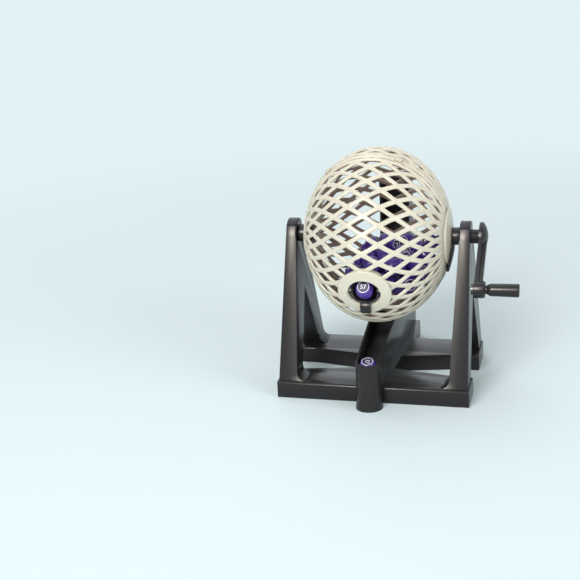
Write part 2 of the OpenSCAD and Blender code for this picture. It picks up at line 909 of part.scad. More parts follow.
// Crank arm in the plane of the turn, from the axle to the grip
module arm_outline() {
    polygon([
        [0, -arm_boss_w / 2], [crank_len, -arm_tip_w / 2], [crank_len, arm_tip_w / 2], [0, arm_boss_w / 2]
    ]);
}

// X of the outline runs along the arm from the axle
module in_arm_plane(from) {
    translate([from, 0, 0]) at_angle(crank_angle) rotate([90, 0, -90]) mirror([0, 0, 1]) children();
}

// Boss on the axle, with a domed outer face
function boss_outline() = concat(
    [[0, 0], [boss_r, 0]],
    [for (k = [0:6]) let (r = boss_r * (1 - k / 6)) [
        r, boss_edge_t + boss_dome_h - boss_dome_r + sqrt(boss_dome_r * boss_dome_r - r * r)]]);

// Boss at the grip, with a rounded outer edge
function tip_outline() = concat(
    [[0, 0], [tip_r, 0]],
    [for (k = [0:4]) [
        tip_r - tip_round + tip_round * cos(k * 22.5), tip_t - tip_round + tip_round * sin(k * 22.5)]],
    [[0, tip_t]]);

module crank_arm() {
    color(black) difference() {
        in_arm_plane(crank_x) {
            linear_extrude(arm_plate_t) arm_outline();
            translate([0, -arm_rib_w / 2, 0]) cube([crank_len, arm_rib_w, crank_t]);
            rotate_extrude() polygon(boss_outline());
            translate([crank_len, 0, 0]) rotate_extrude() polygon(tip_outline());
        }
        in_arm_plane(crank_x - over) {
            cylinder(r = stub_r + running_gap, h = over + stub_end_x - crank_x);
            cylinder(r = screw_r + running_gap, h = crank_t + 2 * over);
            translate([0, 0, screw_seat + over]) cylinder(r = screw_sink_r, h = crank_t);
            translate([crank_len, 0, 0]) cylinder(r = pin_r + running_gap, h = tip_t + 2 * over);
        }
    }
}

// Screw that holds the crank arm on the axle
module crank_screw() {
    color(steel) about_axle() difference() {
        union() {
            bar_x(screw_r - running_gap, crank_x - screw_depth, screw_seat_x + over);
            bar_x(screw_head_r, screw_seat_x + running_gap, screw_seat_x + screw_head_h);
        }
        translate([screw_seat_x + screw_head_h - screw_slot, -screw_head_r, -screw_slot / 2])
            cube([screw_slot + over, 2 * screw_head_r, screw_slot]);
    }
}

// Pin that the grip turns on, with a head at the arm's back and one in the grip's end
module grip_pin() {
    color(steel) in_arm_plane(0) translate([crank_len, 0, 0]) {
        translate([0, 0, crank_x - pin_back_h])
            cylinder(r = pin_r + pin_back_step, h = pin_back_h - running_gap);
        translate([0, 0, crank_x - over]) cylinder(r = pin_r, h = grip_end_x - crank_x);
        translate([0, 0, grip_end_x - pin_head_h]) cylinder(r = pin_head_r, h = pin_head_h);
    }
}

// Grip that turns on its pin: a narrow neck, a swell and a slightly flared end
grip_neck_step = 2;
grip_flare = 0.4;
grip_neck_r = grip_r - grip_neck_step - grip_flare;
grip_neck_len = 1.4;
grip_swell_len = 5;
grip_end_round = 1.2;

function grip_outline() = concat(
    [[0, 0], [grip_neck_r, 0]],
    [for (k = [0:5]) let (t = k / 5) [
        grip_neck_r + grip_neck_step * sin(90 * t), grip_neck_len + grip_swell_len * t]],
    [for (k = [0:4]) [
        grip_r - grip_end_round + grip_end_round * cos(k * 22.5),
        grip_len - grip_end_round + grip_end_round * sin(k * 22.5)]],
    [[0, grip_len]]);

module crank_grip() {
    color(black) in_arm_plane(grip_x) translate([crank_len, 0, 0]) difference() {
        rotate_extrude() polygon(grip_outline());
        translate([0, 0, -over]) cylinder(r = pin_r + running_gap, h = grip_len + 2 * over);
        translate([0, 0, grip_len - pin_head_h - body_gap])
            cylinder(r = pin_head_r + body_gap, h = pin_head_h + 2 * over);
    }
}

base_frame();
ball_track();
rear_ball_guide();
left_upright();
right_upright();
left_bearing_cap();
right_bearing_cap();
cage_front_half();
cage_rear_half();
seam_clips();
left_hub_plate();
right_hub_plate();
left_axle();
drive_spider();
port_plate();
ball_gate();
port_ball();
calling_balls();
called_ball();
crank_arm();
crank_screw();
grip_pin();
crank_grip();
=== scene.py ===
import json
import math

import bmesh
import bpy
import numpy as np
from bpy.props import FloatProperty, FloatVectorProperty, IntProperty, PointerProperty
from mathutils import Matrix, Vector


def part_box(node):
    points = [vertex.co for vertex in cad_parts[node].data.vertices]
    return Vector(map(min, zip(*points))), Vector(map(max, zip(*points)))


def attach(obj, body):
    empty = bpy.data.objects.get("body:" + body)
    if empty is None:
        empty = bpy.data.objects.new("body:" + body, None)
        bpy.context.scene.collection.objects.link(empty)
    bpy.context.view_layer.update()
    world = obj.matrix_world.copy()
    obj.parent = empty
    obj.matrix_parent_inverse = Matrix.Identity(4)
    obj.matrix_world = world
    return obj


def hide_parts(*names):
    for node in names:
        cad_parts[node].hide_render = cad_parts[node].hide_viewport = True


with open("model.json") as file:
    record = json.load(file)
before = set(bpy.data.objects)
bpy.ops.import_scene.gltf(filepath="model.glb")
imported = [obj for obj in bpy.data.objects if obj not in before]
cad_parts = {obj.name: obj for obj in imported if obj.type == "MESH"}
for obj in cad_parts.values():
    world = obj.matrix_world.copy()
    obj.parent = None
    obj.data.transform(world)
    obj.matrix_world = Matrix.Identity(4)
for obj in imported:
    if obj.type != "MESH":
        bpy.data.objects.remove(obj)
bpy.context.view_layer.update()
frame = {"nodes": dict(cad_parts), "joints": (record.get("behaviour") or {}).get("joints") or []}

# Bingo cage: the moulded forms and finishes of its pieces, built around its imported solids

bl_info = {
    "name": "Bingo Cage",
    "version": (1, 0, 0),
    "blender": (4, 5, 0),
    "location": "View3D > Sidebar > Bingo Cage",
    "description": "Builds a table-top bingo cage with its lattice, balls, stand and crank",
    "category": "Object",
}

MM = 0.001
JOINTS = {joint["name"]: joint for joint in frame["joints"]}
AXLE = Vector(JOINTS["cage_turn"]["pos_m"])
GATE_PIVOT = Vector(JOINTS["gate_swing"]["pos_m"])
HUB_LOW, HUB_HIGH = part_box("right_hub_plate")

# Distances up to which points are welded or count as one, and angles up to which faces blend smoothly
WELD, TOUCH = 0.001 * MM, 0.0001 * MM
SOFT, LATTICE_SOFT, PEG_SOFT = math.radians(32), math.radians(50), math.radians(40)


# Settings that a user would change


def size_prop(name, description, millimetres):
    return FloatProperty(name=name, description=description, default=millimetres * MM, unit="LENGTH")


def angle_prop(name, description, degrees):
    return FloatProperty(name=name, description=description, default=math.radians(degrees), subtype="ANGLE")


def colour_prop(name, description, rgb):
    return FloatVectorProperty(name=name, description=description, default=rgb, subtype="COLOR")


def power_prop(name, description, watts):
    return FloatProperty(name=name, description=description, default=watts, unit="POWER")


class CageSizes(bpy.types.PropertyGroup):
    """Sizes of the round lattice cage and its port."""

    diameter: size_prop("Diameter", "Outer diameter of the cage", 190)
    length: size_prop("Length", "Length of the round form along the axle", 160)
    bars: IntProperty(name="Bars", description="Bars that lean each way around the cage", default=30)
    rows: IntProperty(name="Rows", description="Row spaces of the lattice from hub to hub", default=12)
    bar_width: size_prop("Bar width", "Width of a lattice bar", 4.7)
    shell: size_prop("Shell", "Thickness of the cage's shell", 2.9)
    rim_width: size_prop("Rim width", "Width of the rim of each half", 8.5)
    rim_bead: size_prop("Rim bead", "Height of the bead along the seam", 0.55)
    rim_groove: size_prop("Rim groove", "Depth of the groove beside the bead", 1.3)
    seam_angle: angle_prop("Seam angle", "Angle of the seam above the level front", 77)
    seam_gap: size_prop("Seam gap", "Gap between the halves", 0.2)
    past_seat: angle_prop("Past the seat", "How far the lattice runs on past a hub plate's seat", 3.4)
    corner_power: FloatProperty(
        name="Opening corners", description="Power of the openings' outline: 1 is a sharp diamond, 2 an oval",
        default=1.07)
    bar_power: FloatProperty(
        name="Bar roundness", description="Power of a bar's section: 2 is an oval, more is squarer",
        default=2.5)
    port_plate: size_prop("Port plate", "Diameter of the port's plate", 56)
    port_hole: size_prop("Port hole", "Diameter of the port's hole at the outside", 35)
    port_throat: size_prop("Port throat", "Diameter that the hole's cone narrows to", 33.2)
    port_collar: size_prop("Port collar", "Inner diameter of the collar that holds the gate's pins", 42)
    port_thickness: size_prop("Port thickness", "Thickness of the port's plate", 2.5)


class BallSizes(bpy.types.PropertyGroup):
    """Sizes of a peg-shaped calling ball and its number."""

    diameter: size_prop("Diameter", "Largest diameter of a ball", 19)
    height: size_prop("Height", "Height of a ball", 21.5)
    label: size_prop("Label", "Diameter of the flat label", 13)
    neck: size_prop("Neck", "Diameter of the neck", 13.4)
    foot: size_prop("Foot", "Diameter of the foot", 14.6)
    ring_width: size_prop("Ring width", "Width of the white ring round the number", 0.95)
    digit_height: size_prop("Digit height", "Height of the digits", 6.6)
    ink_height: size_prop("Ink height", "Thickness of the printed ink", 0.06)
    highest: IntProperty(name="Highest number", description="Highest number in the set", default=75)


class GateSizes(bpy.types.PropertyGroup):
    """Sizes of the scoop and tongue in the port."""

    barrel: size_prop("Barrel", "Outer radius of the scoop about its pins", 14.9)
    half_width: size_prop("Half width", "Half of the scoop's width along its pins", 14.2)
    wall: size_prop("Wall", "Thickness of the scoop", 1.4)
    barrel_power: FloatProperty(
        name="Barrel roundness", description="Power of the scoop's section: 2 is an oval, more is squarer",
        default=3.0)
    front: angle_prop("Front", "Angle of the scoop's front rim from the port's axis", 72)
    back: angle_prop("Back", "Angle of the scoop's back rim from the port's axis", 215)
    tongue: size_prop("Tongue", "Width of the tongue", 11.6)
    tongue_thickness: size_prop("Tongue thickness", "Thickness of the tongue", 1.6)
    pin: size_prop("Pin", "Diameter of the pins", 3.2)
    edge: size_prop("Edge", "Rounding of the gate's edges", 0.5)


class StandSizes(bpy.types.PropertyGroup):
    """Edge roundings of the moulded black pieces and the steel ones."""

    rail_edge: size_prop("Rail edge", "Rounding of the base's edges", 0.7)
    upright_edge: size_prop("Upright edge", "Rounding of the edges of uprights and caps", 1.0)
    track_edge: size_prop("Track edge", "Rounding of the track's edges", 0.5)
    small_edge: size_prop("Small edge", "Rounding of the edges of axle, crank and grip", 0.4)
    steel_edge: size_prop("Steel edge", "Rounding of the edges of screw and pin", 0.2)


class Finishes(bpy.types.PropertyGroup):
    """Colours of the plastics, ink and steel, and of a painted shade and a painted highlight."""

    cream: colour_prop("Cream", "Plastic of the cage", (0.72941, 0.67843, 0.54902))
    # Painted shade: a darker, warmer cream standing in for the shade on inner sides, in grooves and round the
    # clips
    inside: colour_prop("Inside", "Plastic of the lattice's inner sides", (0.46, 0.335, 0.285))
    black: colour_prop("Black", "Plastic of the stand and crank", (0.01961, 0.01961, 0.01961))
    # Painted highlight: pale colour on the gate's rounded edges, standing in for the light they catch
    worn: colour_prop("Worn edge", "Rubbed edges of the gate", (0.34, 0.30, 0.27))
    violet: colour_prop("Violet", "Plastic of the balls", (0.07059, 0.02745, 0.29804))
    label: colour_prop("Label", "Dark ink behind the numbers", (0.022, 0.010, 0.075))
    ink: colour_prop("Ink", "White ink of rings and numbers", (0.88, 0.86, 0.92))
    steel: colour_prop("Steel", "Blackened steel of screw and pin", (0.085, 0.082, 0.084))


class StageSettings(bpy.types.PropertyGroup):
    """Camera, floor and light."""

    azimuth: angle_prop("Azimuth", "Camera's turn to the right of the front", 15.7)
    elevation: angle_prop("Elevation", "Camera's height above level", 20.0)
    roll: angle_prop("Roll", "Camera's roll", -3.5)
    distance: size_prop("Distance", "Camera's distance from its aim", 1355)
    focal: FloatProperty(name="Lens", description="Focal length in millimetres", default=74.8, unit="CAMERA")
    aim: FloatVectorProperty(
        name="Aim", description="Point in the middle of the picture", default=(-0.1035, 0.0, 0.099),
        subtype="TRANSLATION")
    backdrop: colour_prop("Backdrop", "Colour of the floor and background", (0.77, 0.89, 0.92))
    floor_near: size_prop("Near floor", "Distance within which the floor is lit by the lamps", 350)
    floor_far: size_prop("Far floor", "Distance from which the floor is an even backdrop", 1300)
    ambient: FloatProperty(name="Ambient", description="Strength of the even light", default=0.30)
    key: power_prop("Key", "Power of the main lamp", 60.0)
    fill: power_prop("Fill", "Power of the lamp on the crank's side", 24.0)
    top: power_prop("Top", "Power of the lamp overhead", 16.0)
    back: power_prop("Back", "Power of the lamp behind", 7.0)
    glint: power_prop("Glint", "Power of the lamp that is only mirrored, in the uprights' upper ends", 74.0)
    glint_tint: colour_prop("Glint tint", "Colour of the mirrored lamp", (0.90, 1.0, 0.70))


class BingoCage(bpy.types.PropertyGroup):
    """All settings of the bingo cage."""

    cage: PointerProperty(type=CageSizes)
    ball: PointerProperty(type=BallSizes)
    gate: PointerProperty(type=GateSizes)
    stand: PointerProperty(type=StandSizes)
    finish: PointerProperty(type=Finishes)
    stage: PointerProperty(type=StageSettings)


def settings():
    return bpy.context.scene.bingo_cage


# Finishes

SMUDGE_FINENESS = 3.1


def noise_node(tree, coords, scale, detail, roughness=0.5):
    node = tree.nodes.new("ShaderNodeTexNoise")
    node.inputs["Scale"].default_value = scale
    node.inputs["Detail"].default_value = detail
    node.inputs["Roughness"].default_value = roughness
    tree.links.new(coords.outputs["Object"], node.inputs["Vector"])
    return node


def range_node(tree, value, low, high, from_low=0.3, from_high=0.7):
    node = tree.nodes.new("ShaderNodeMapRange")
    node.inputs["From Min"].default_value = from_low
    node.inputs["From Max"].default_value = from_high
    node.inputs["To Min"].default_value = low
    node.inputs["To Max"].default_value = high
    tree.links.new(value, node.inputs["Value"])
    return node.outputs["Result"]


def colour_blend(tree, share, dark, light):
    node = tree.nodes.new("ShaderNodeMix")
    node.data_type = "RGBA"
    node.inputs["A"].default_value = (*dark, 1)
    node.inputs["B"].default_value = (*light, 1)
    tree.links.new(share, node.inputs["Factor"])
    return node.outputs["Result"]


def math_node(tree, operation, first, second):
    node = tree.nodes.new("ShaderNodeMath")
    node.operation = operation
    tree.links.new(first, node.inputs[0])
    tree.links.new(second, node.inputs[1])
    return node.outputs["Value"]


def mix_out(tree, share, first, second, output):
    """Send a mix of two shaders to the output."""
    mix = tree.nodes.new("ShaderNodeMixShader")
    for source, socket in zip((share, first, second), mix.inputs):
        tree.links.new(source, socket)
    tree.links.new(mix.outputs["Shader"], tree.nodes[output].inputs["Surface"])


def plastic(name, colour, inputs):
    """A plastic that comes with the frame, in its set colour and with further inputs of its shader."""
    material = bpy.data.materials[name]
    shader = material.node_tree.nodes["Principled BSDF"]
    shader.inputs["Base Color"].default_value = (*colour, 1)
    for socket, value in inputs.items():
        shader.inputs[socket].default_value = value
    return material


def grained(name, colour, shade, roughness, grain, depth, mottle, metal=0.0):
    """Material with a faint mottle in colour and gloss, and a fine grain in its skin."""
    if name in bpy.data.materials:
        return bpy.data.materials[name]
    material = bpy.data.materials.new(name)
    material.use_nodes = True
    tree = material.node_tree
    shader = tree.nodes["Principled BSDF"]
    shader.inputs["Metallic"].default_value = metal
    coords = tree.nodes.new("ShaderNodeTexCoord")
    patches = noise_node(tree, coords, mottle, detail=3.0)
    share = range_node(tree, patches.outputs["Fac"], 0.0, 1.0)
    dark = [channel * factor for channel, factor in zip(colour, shade)]
    tree.links.new(colour_blend(tree, share, dark, colour), shader.inputs["Base Color"])
    smudge = noise_node(tree, coords, mottle * SMUDGE_FINENESS, detail=5.0, roughness=0.6)
    tree.links.new(range_node(tree, smudge.outputs["Fac"], *roughness), shader.inputs["Roughness"])
    skin = noise_node(tree, coords, grain, detail=2.0)
    bump = tree.nodes.new("ShaderNodeBump")
    bump.inputs["Strength"].default_value = 0.35
    bump.inputs["Distance"].default_value = depth
    tree.links.new(skin.outputs["Fac"], bump.inputs["Height"])
    tree.links.new(bump.outputs["Normal"], shader.inputs["Normal"])
    return material


def cream_plastic():
    return plastic("cream_plastic", settings().finish.cream, {
        "Subsurface Weight": 0.12, "Subsurface Radius": (1.0, 0.8, 0.55), "Subsurface Scale": 1.2 * MM})


def black_plastic():
    return plastic("black_plastic", settings().finish.black, {
        "Specular IOR Level": 0.30, "Specular Tint": (1.0, 0.84, 0.95, 1)})


def violet_plastic():
    return plastic("violet_plastic", settings().finish.violet, {"Coat Weight": 0.25})


def cream_inside():
    """Painted shade: the cream plastic darkened and warmed, standing in for the shade on the lattice's inner
    sides.
    """
    return grained(
        "cream_inside", settings().finish.inside, shade=(0.88, 0.86, 0.84), roughness=(0.42, 0.55),
        grain=900.0, depth=0.05 * MM, mottle=35.0)


def worn_edge():
    """Black plastic with a painted highlight: pale colour on its rounded edges that stands in for the light
    they catch.
    """
    return grained(
        "worn_edge", settings().finish.worn, shade=(0.45, 0.42, 0.42), roughness=(0.30, 0.45),
        grain=1400.0, depth=0.03 * MM, mottle=240.0)


def label_ink():
    return grained(
        "label_ink", settings().finish.label, shade=(0.8, 0.8, 0.85), roughness=(0.25, 0.36),
        grain=1800.0, depth=0.015 * MM, mottle=200.0)


def white_ink():
    return grained(
        "white_ink", settings().finish.ink, shade=(0.93, 0.93, 0.95), roughness=(0.38, 0.5),
        grain=2200.0, depth=0.02 * MM, mottle=260.0)


def blackened_steel():
    return grained(
        "blackened_steel", settings().finish.steel, shade=(0.88, 0.88, 0.9), roughness=(0.2, 0.34),
        grain=2600.0, depth=0.015 * MM, mottle=300.0, metal=1.0)


# The cream plastic, and the painted shade of the cream for inner sides and hollows
CREAM_AND_PAINTED_SHADE = (cream_plastic, cream_inside)


# Mesh tools


def new_object(name, data):
    item = bpy.data.objects.new(name, data)
    bpy.context.scene.collection.objects.link(item)
    return item


def form_of(mesh):
    bm = bmesh.new()
    bm.from_mesh(mesh)
    return bm


def mesh_of(bm, name, limit=SOFT):
    """Mesh of a bmesh, smooth but for the edges sharper than the limit. The bmesh is freed."""
    bmesh.ops.recalc_face_normals(bm, faces=bm.faces)
    for face in bm.faces:
        face.smooth = True
    for edge in bm.edges:
        edge.smooth = len(edge.link_faces) == 2 and edge.calc_face_angle(0) < limit
    mesh = bpy.data.meshes.new(name)
    bm.to_mesh(mesh)
    bm.free()
    return mesh


def add_piece(name, bm, body, node, finishes, limit=SOFT):
    """Add a form as a piece on a body in place of a node."""
    piece = new_object(name, mesh_of(bm, name, limit))
    for finish in finishes:
        piece.data.materials.append(finish())
    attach(piece, body)
    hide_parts(node)


def rounded(corners, steps=5, closed=True):
    """Points of an outline whose corners, given as x, y and radius, are rounded off."""
    points = []
    for k, (x, y, radius) in enumerate(corners):
        here = Vector((x, y))
        if radius <= 0 or (not closed and k in (0, len(corners) - 1)):
            points.append((x, y))
            continue
        before = (Vector(corners[k - 1][:2]) - here).normalized()
        after = (Vector(corners[(k + 1) % len(corners)][:2]) - here).normalized()
        half = before.angle(after) / 2
        centre = here + (before + after).normalized() * (radius / math.sin(half))
        arm = here + before * (radius / math.tan(half)) - centre
        turn = math.copysign(math.pi - 2 * half, -before.cross(after))
        for step in range(steps + 1):
            angle = turn * step / steps
            points.append(tuple(centre + Matrix.Rotation(angle, 2) @ arm))
    return points


def turned(outline, steps=72, closed=False, finishes=()):
    """A bmesh of an outline of radius and height turned about Z; a band takes its finish from the list."""
    bm = bmesh.new()
    rings = []
    for radius, height in outline:
        turns = [2 * math.pi * k / steps for k in range(steps if radius > TOUCH else 1)]
        rings.append([
            bm.verts.new((radius * math.cos(turn), radius * math.sin(turn), height)) for turn in turns])
    pairs = list(zip(rings, rings[1:]))
    if closed:
        pairs.append((rings[-1], rings[0]))
    for band, (low, high) in enumerate(pairs):
        for k in range(steps):
            corners = [low[k % len(low)], low[(k + 1) % steps % len(low)],
                       high[(k + 1) % steps % len(high)], high[k % len(high)]]
            corners = list(dict.fromkeys(corners))
            if len(corners) > 2:
                face = bm.faces.new(corners)
                face.material_index = finishes[band] if band < len(finishes) else 0
    return bm


def walls(bm, rings):
    """Faces between the rings of a row, ring by ring."""
    made = []
    for a, b in zip(rings, rings[1:]):
        for k in range(len(a)):
            n = (k + 1) % len(a)
            made.append(bm.faces.new((a[k], a[n], b[n], b[k])))
    return made


def tube(bm, rings):
    """Walls between the rings of a row, with both ends closed."""
    made = walls(bm, rings)
    bm.faces.new(rings[0])
    bm.faces.new(rings[-1])
    return made


def round_off(bm, edges, edge, segments=3):
    return bmesh.ops.bevel(
        bm, geom=edges, offset=edge, segments=segments, profile=0.5, affect="EDGES", clamp_overlap=True)


def sharp_edges(bm, limit):
    return [e for e in bm.edges if len(e.link_faces) == 2 and e.calc_face_angle(0) > limit]


def pin_form(radius, low, high, foot=0, end=0):
    """A round pin along Z, with the roundings of its foot and of its end."""
    corners = [(0, low, 0), (radius, low, foot), (radius, high, end), (0, high, 0)]
    return turned(rounded(corners, closed=False), steps=32)


def block(bm, low, high, edge):
    """A box with rounded edges, added to a bmesh."""
    made = bmesh.ops.create_cube(bm, size=1.0)["verts"]
    middle, size = (low + high) / 2, high - low
    for vert in made:
        vert.co = middle + Vector(a * b for a, b in zip(vert.co, size))
    round_off(bm, list(dict.fromkeys(e for v in made for e in v.link_edges)), edge)


def join_into(bm, part, matrix=Matrix.Identity(4), finish=None):
    """Add a second bmesh to the first at a place, and free it."""
    mesh = bpy.data.meshes.new("part")
    bmesh.ops.transform(part, matrix=matrix, verts=part.verts)
    if finish is not None:
        for face in part.faces:
            face.material_index = finish
    part.to_mesh(mesh)
    part.free()
    bm.from_mesh(mesh)
    bpy.data.meshes.remove(mesh)


def cut_away(mesh, cutter_bm):
    """The mesh with a cutter's space taken out of it."""
    cutter = new_object("cutter", mesh_of(cutter_bm, "cutter"))
    holder = new_object("holder", mesh)
    modifier = holder.modifiers.new("cut", "BOOLEAN")
    modifier.operation = "DIFFERENCE"
    modifier.solver = "EXACT"
    modifier.object = cutter
    depsgraph = bpy.context.evaluated_depsgraph_get()
    result = bpy.data.meshes.new_from_object(holder.evaluated_get(depsgraph))
    for item in (holder, cutter):
        bpy.data.objects.remove(item)
    if not result.polygons:
        raise RuntimeError("the cut left nothing")
    return result


def solid_form(node):
    """A welded copy of a solid's mesh."""
    bm = form_of(frame["nodes"][node].data)
    bmesh.ops.remove_doubles(bm, verts=bm.verts, dist=WELD)
    return bm


def moulded(node, edge):
    """A copy of a solid's form with its sharp edges rounded off, as a mould leaves them."""
    flat, sharp = math.radians(0.5), math.radians(28)
    bm = solid_form(node)
    bmesh.ops.dissolve_limit(bm, angle_limit=flat, verts=bm.verts, edges=bm.edges)
    round_off(bm, [e for e in sharp_edges(bm, sharp) if not parts_here(e)], edge)
    return bm


def parts_here(edge):
    """True for an edge in the plane where a bearing cap and its upright meet."""
    return all(abs(vert.co.z - AXLE.z) < 10 * WELD for vert in edge.verts)


def black_copy(name, node, body, edge):
    add_piece(name, moulded(node, edge), body, node, [black_plastic])


def islands(node):
    """Points of each separate solid in a node."""
    bm = solid_form(node)
    seen = set()
    found = []
    for start in bm.verts:
        if start in seen:
            continue
        seen.add(start)
        island = [start]
        for vert in island:
            fresh = [e.other_vert(vert) for e in vert.link_edges]
            fresh = [other for other in fresh if other not in seen]
            seen.update(fresh)
            island += fresh
        found.append(np.array([v.co for v in island]))
    bm.free()
    return found


def block_places(node):
    """Place and size of each small block on the cage: X along the seam, Y across it, Z out of the cage."""
    for points in islands(node):
        centre = Vector(points.mean(0))
        out = centre - AXLE
        cage = settings().cage
        squash = (cage.diameter / cage.length) ** 2
        normal = Vector((out.x * squash, out.y, out.z)).normalized()
        across = normal.cross(Vector((1, 0, 0))).normalized()
        columns = Matrix((across.cross(normal), across, normal))
        reach = (points - np.array(centre)) @ np.array(columns.transposed())
        yield Matrix.Translation(centre) @ columns.transposed().to_4x4(), Vector(reach.max(0) - reach.min(0))


def along_axle(x):
    """Matrix that lays Z along the axle, at a distance from the middle."""
    return Matrix.Translation((x, AXLE.y, AXLE.z)) @ Matrix.Rotation(math.pi / 2, 4, "Y")


def port_place():
    """Matrix of the port: Z out along its axis from the axle, Y up along its plate."""
    out = (GATE_PIVOT - AXLE).normalized()
    up = Vector((1, 0, 0)).cross(out) * -1
    columns = Matrix((Vector((1, 0, 0)), up, out)).transposed()
    return Matrix.Translation(AXLE) @ columns.to_4x4()


# Lattice cage

# Shares of the rim's width at which the bead ends, and at which the outer ridge starts and ends
RIM_SHARES = (0.37, 0.57, 0.86)
# Share of the groove's depth from which its faces take the painted shade, a darker cream standing in for the
# shade in the groove
RIM_SHADE = 0.6
PORT_CUT = 4.4 * MM


class Lattice:
    """The grid of the cage: angles along and around it, before it is drawn in along the axle."""

    side_steps = 6
    section_steps = 5
    rim_steps = 72
    least_open = 0.12
    weld = 0.02 * MM

    def __init__(self, cage):
        self.radius = cage.diameter / 2
        self.squash = cage.length / cage.diameter
        self.seat = HUB_LOW.x
        self.shell = cage.shell
        self.rows = cage.rows
        self.bars = cage.bars
        self.end = math.asin(self.seat / (cage.length / 2)) + cage.past_seat
        self.row_step = 2 * self.end / cage.rows
        self.bar_step = 2 * math.pi / cage.bars
        self.bar_width = cage.bar_width
        self.corner_power = cage.corner_power
        self.section_power = cage.bar_power
        self.turn = Matrix.Translation(AXLE) @ Matrix.Rotation(math.pi / 2 - cage.seam_angle, 4, "X")

    def row(self, i):
        return -self.end + i * self.row_step

    def point(self, lat, lon, radius):
        x = radius * math.sin(lat) * self.squash
        x = max(-self.seat, min(self.seat, x))
        flat = radius * math.cos(lat)
        return Vector((x, flat * math.sin(lon), flat * math.cos(lon)))

    def open_share(self, i):
        """Share of a cell that its opening takes, so that the bars keep their width."""
        tall = self.radius * self.squash * self.row_step
        wide = self.radius * math.cos(self.row(i)) * self.bar_step / 2
        return max(self.least_open, 1 - self.bar_width / 2 / (tall * wide / math.hypot(tall, wide)))

    def side_shares(self):
        """Places along a cell's side that its opening's round corners fall on."""
        quarter = math.pi / 2 / self.side_steps
        power = 2 / self.corner_power
        for k in range(self.side_steps):
            along, across = math.cos(k * quarter) ** power, math.sin(k * quarter) ** power
            yield along, across, across / (along + across)

    def section(self):
        """Rings from a bar's crest round to its inner side: share of its width, and radius."""
        middle, half = self.radius - self.shell / 2, self.shell / 2
        power = 2 / self.section_power
        for k in range(2 * self.section_steps + 1):
            angle = math.pi / 2 * k / self.section_steps
            depth = math.copysign(abs(math.cos(angle)) ** power, math.cos(angle))
            yield abs(math.sin(angle)) ** power, middle + half * depth

    def cell(self, bm, i, lon):
        """Skin of one cell, from the crests of its four bars to the rim of its opening."""
        tip = self.open_share(i) * 2 ** (1 / self.corner_power - 1)
        corners = [(0, -1), (1, 0), (0, 1), (-1, 0)]
        edge, opening = [], []
        for k, here in enumerate(corners):
            there = corners[(k + 1) % 4]
            for along, across, share in self.side_shares():
                edge.append([a * (1 - share) + b * share for a, b in zip(here, there)])
                opening.append([tip * (a * along + b * across) for a, b in zip(here, there)])
        rings = []
        for share, radius in self.section():
            rings.append([bm.verts.new(self.point(
                self.row(i) + (e[0] + (o[0] - e[0]) * share) * self.row_step,
                lon + (e[1] + (o[1] - e[1]) * share) * self.bar_step / 2, radius))
                for e, o in zip(edge, opening)])
        for k, face in enumerate(walls(bm, rings)):
            # Faces on a bar's inner half take the second finish, a painted shade
            face.material_index = int(k // len(edge) > self.section_steps)

    def tooth(self, bm, end, lon):
        """Solid tooth that closes the lattice between two bars at one end."""
        first = self.row(0 if end < 0 else self.rows)
        shares = [s for _, _, s in self.side_shares()] + [1.0]
        skins = []
        for radius in (self.radius, self.radius - self.shell):
            sides = []
            for way in (-1, 1):
                wide = way * self.bar_step / 2
                places = [(first - end * s * self.row_step, lon + wide * (1 - s)) for s in shares]
                sides.append([bm.verts.new(self.point(*place, radius)) for place in places])
            skins.append(sides)
            for k in range(len(shares) - 1):
                bm.faces.new((sides[0][k], sides[1][k], sides[1][k + 1], sides[0][k + 1]))
        bm.faces.new((skins[0][0][0], skins[0][1][0], skins[1][1][0], skins[1][0][0]))

    def whole(self):
        bm = bmesh.new()
        for j in range(self.bars):
            for i in range(1, self.rows):
                self.cell(bm, i, (j + 0.5 + i % 2 / 2) * self.bar_step)
            for end in (-1, 1):
                self.tooth(bm, end, (j + 0.5) * self.bar_step)
        bmesh.ops.remove_doubles(bm, verts=bm.verts, dist=self.weld)
        return bm

    def half(self, side, gap):
        """One side of the seam plane, with the cut bars closed."""
        bm = self.whole()
        geometry = list(bm.verts) + list(bm.edges) + list(bm.faces)
        bmesh.ops.bisect_plane(
            bm, geom=geometry, dist=TOUCH, plane_co=(0, side * gap / 2, 0), plane_no=(0, -side, 0),
            clear_outer=True)
        bmesh.ops.holes_fill(bm, edges=[e for e in bm.edges if e.is_boundary], sides=0)
        return bm

    def rim(self, side, cage):
        """Bands along a half's seam, over its top and under its bottom: a bead, a groove and a ridge."""
        bm = bmesh.new()
        low, high, seam, width = self.radius - self.shell, self.radius, cage.seam_gap / 2, cage.rim_width
        crest, floor = high + cage.rim_bead, high - cage.rim_groove
        bead_end, ridge_start, ridge_end = (width * share for share in RIM_SHARES)
        outline = rounded([
            (seam, low, 0.5 * MM), (width, low, 1.0 * MM), (width, high - cage.rim_bead, 0.5 * MM),
            (ridge_end, crest, 0.6 * MM), (ridge_start + 0.3 * MM, crest, 0.6 * MM),
            (ridge_start - 0.4 * MM, floor, 0.4 * MM), (bead_end + 0.4 * MM, floor, 0.4 * MM),
            (bead_end - 0.3 * MM, crest, 0.6 * MM), (seam, crest, 1.0 * MM)], 3)
        shade = high - cage.rim_groove * RIM_SHADE
        for base in (0, math.pi):
            rings = []
            for k in range(self.rim_steps + 1):
                lat = -self.end + 2 * self.end * k / self.rim_steps
                ring = []
                for y, radius in outline:
                    place = self.point(lat, base, math.sqrt(radius * radius - y * y))
                    ring.append(bm.verts.new((place.x, side * y, place.z)))
                rings.append(ring)
            for k, face in enumerate(tube(bm, rings)):
                here, there = k % len(outline), (k + 1) % len(outline)
                # Faces deep in the groove take the painted shade
                face.material_index = int(min(outline[here][1], outline[there][1]) < shade)
        return bm


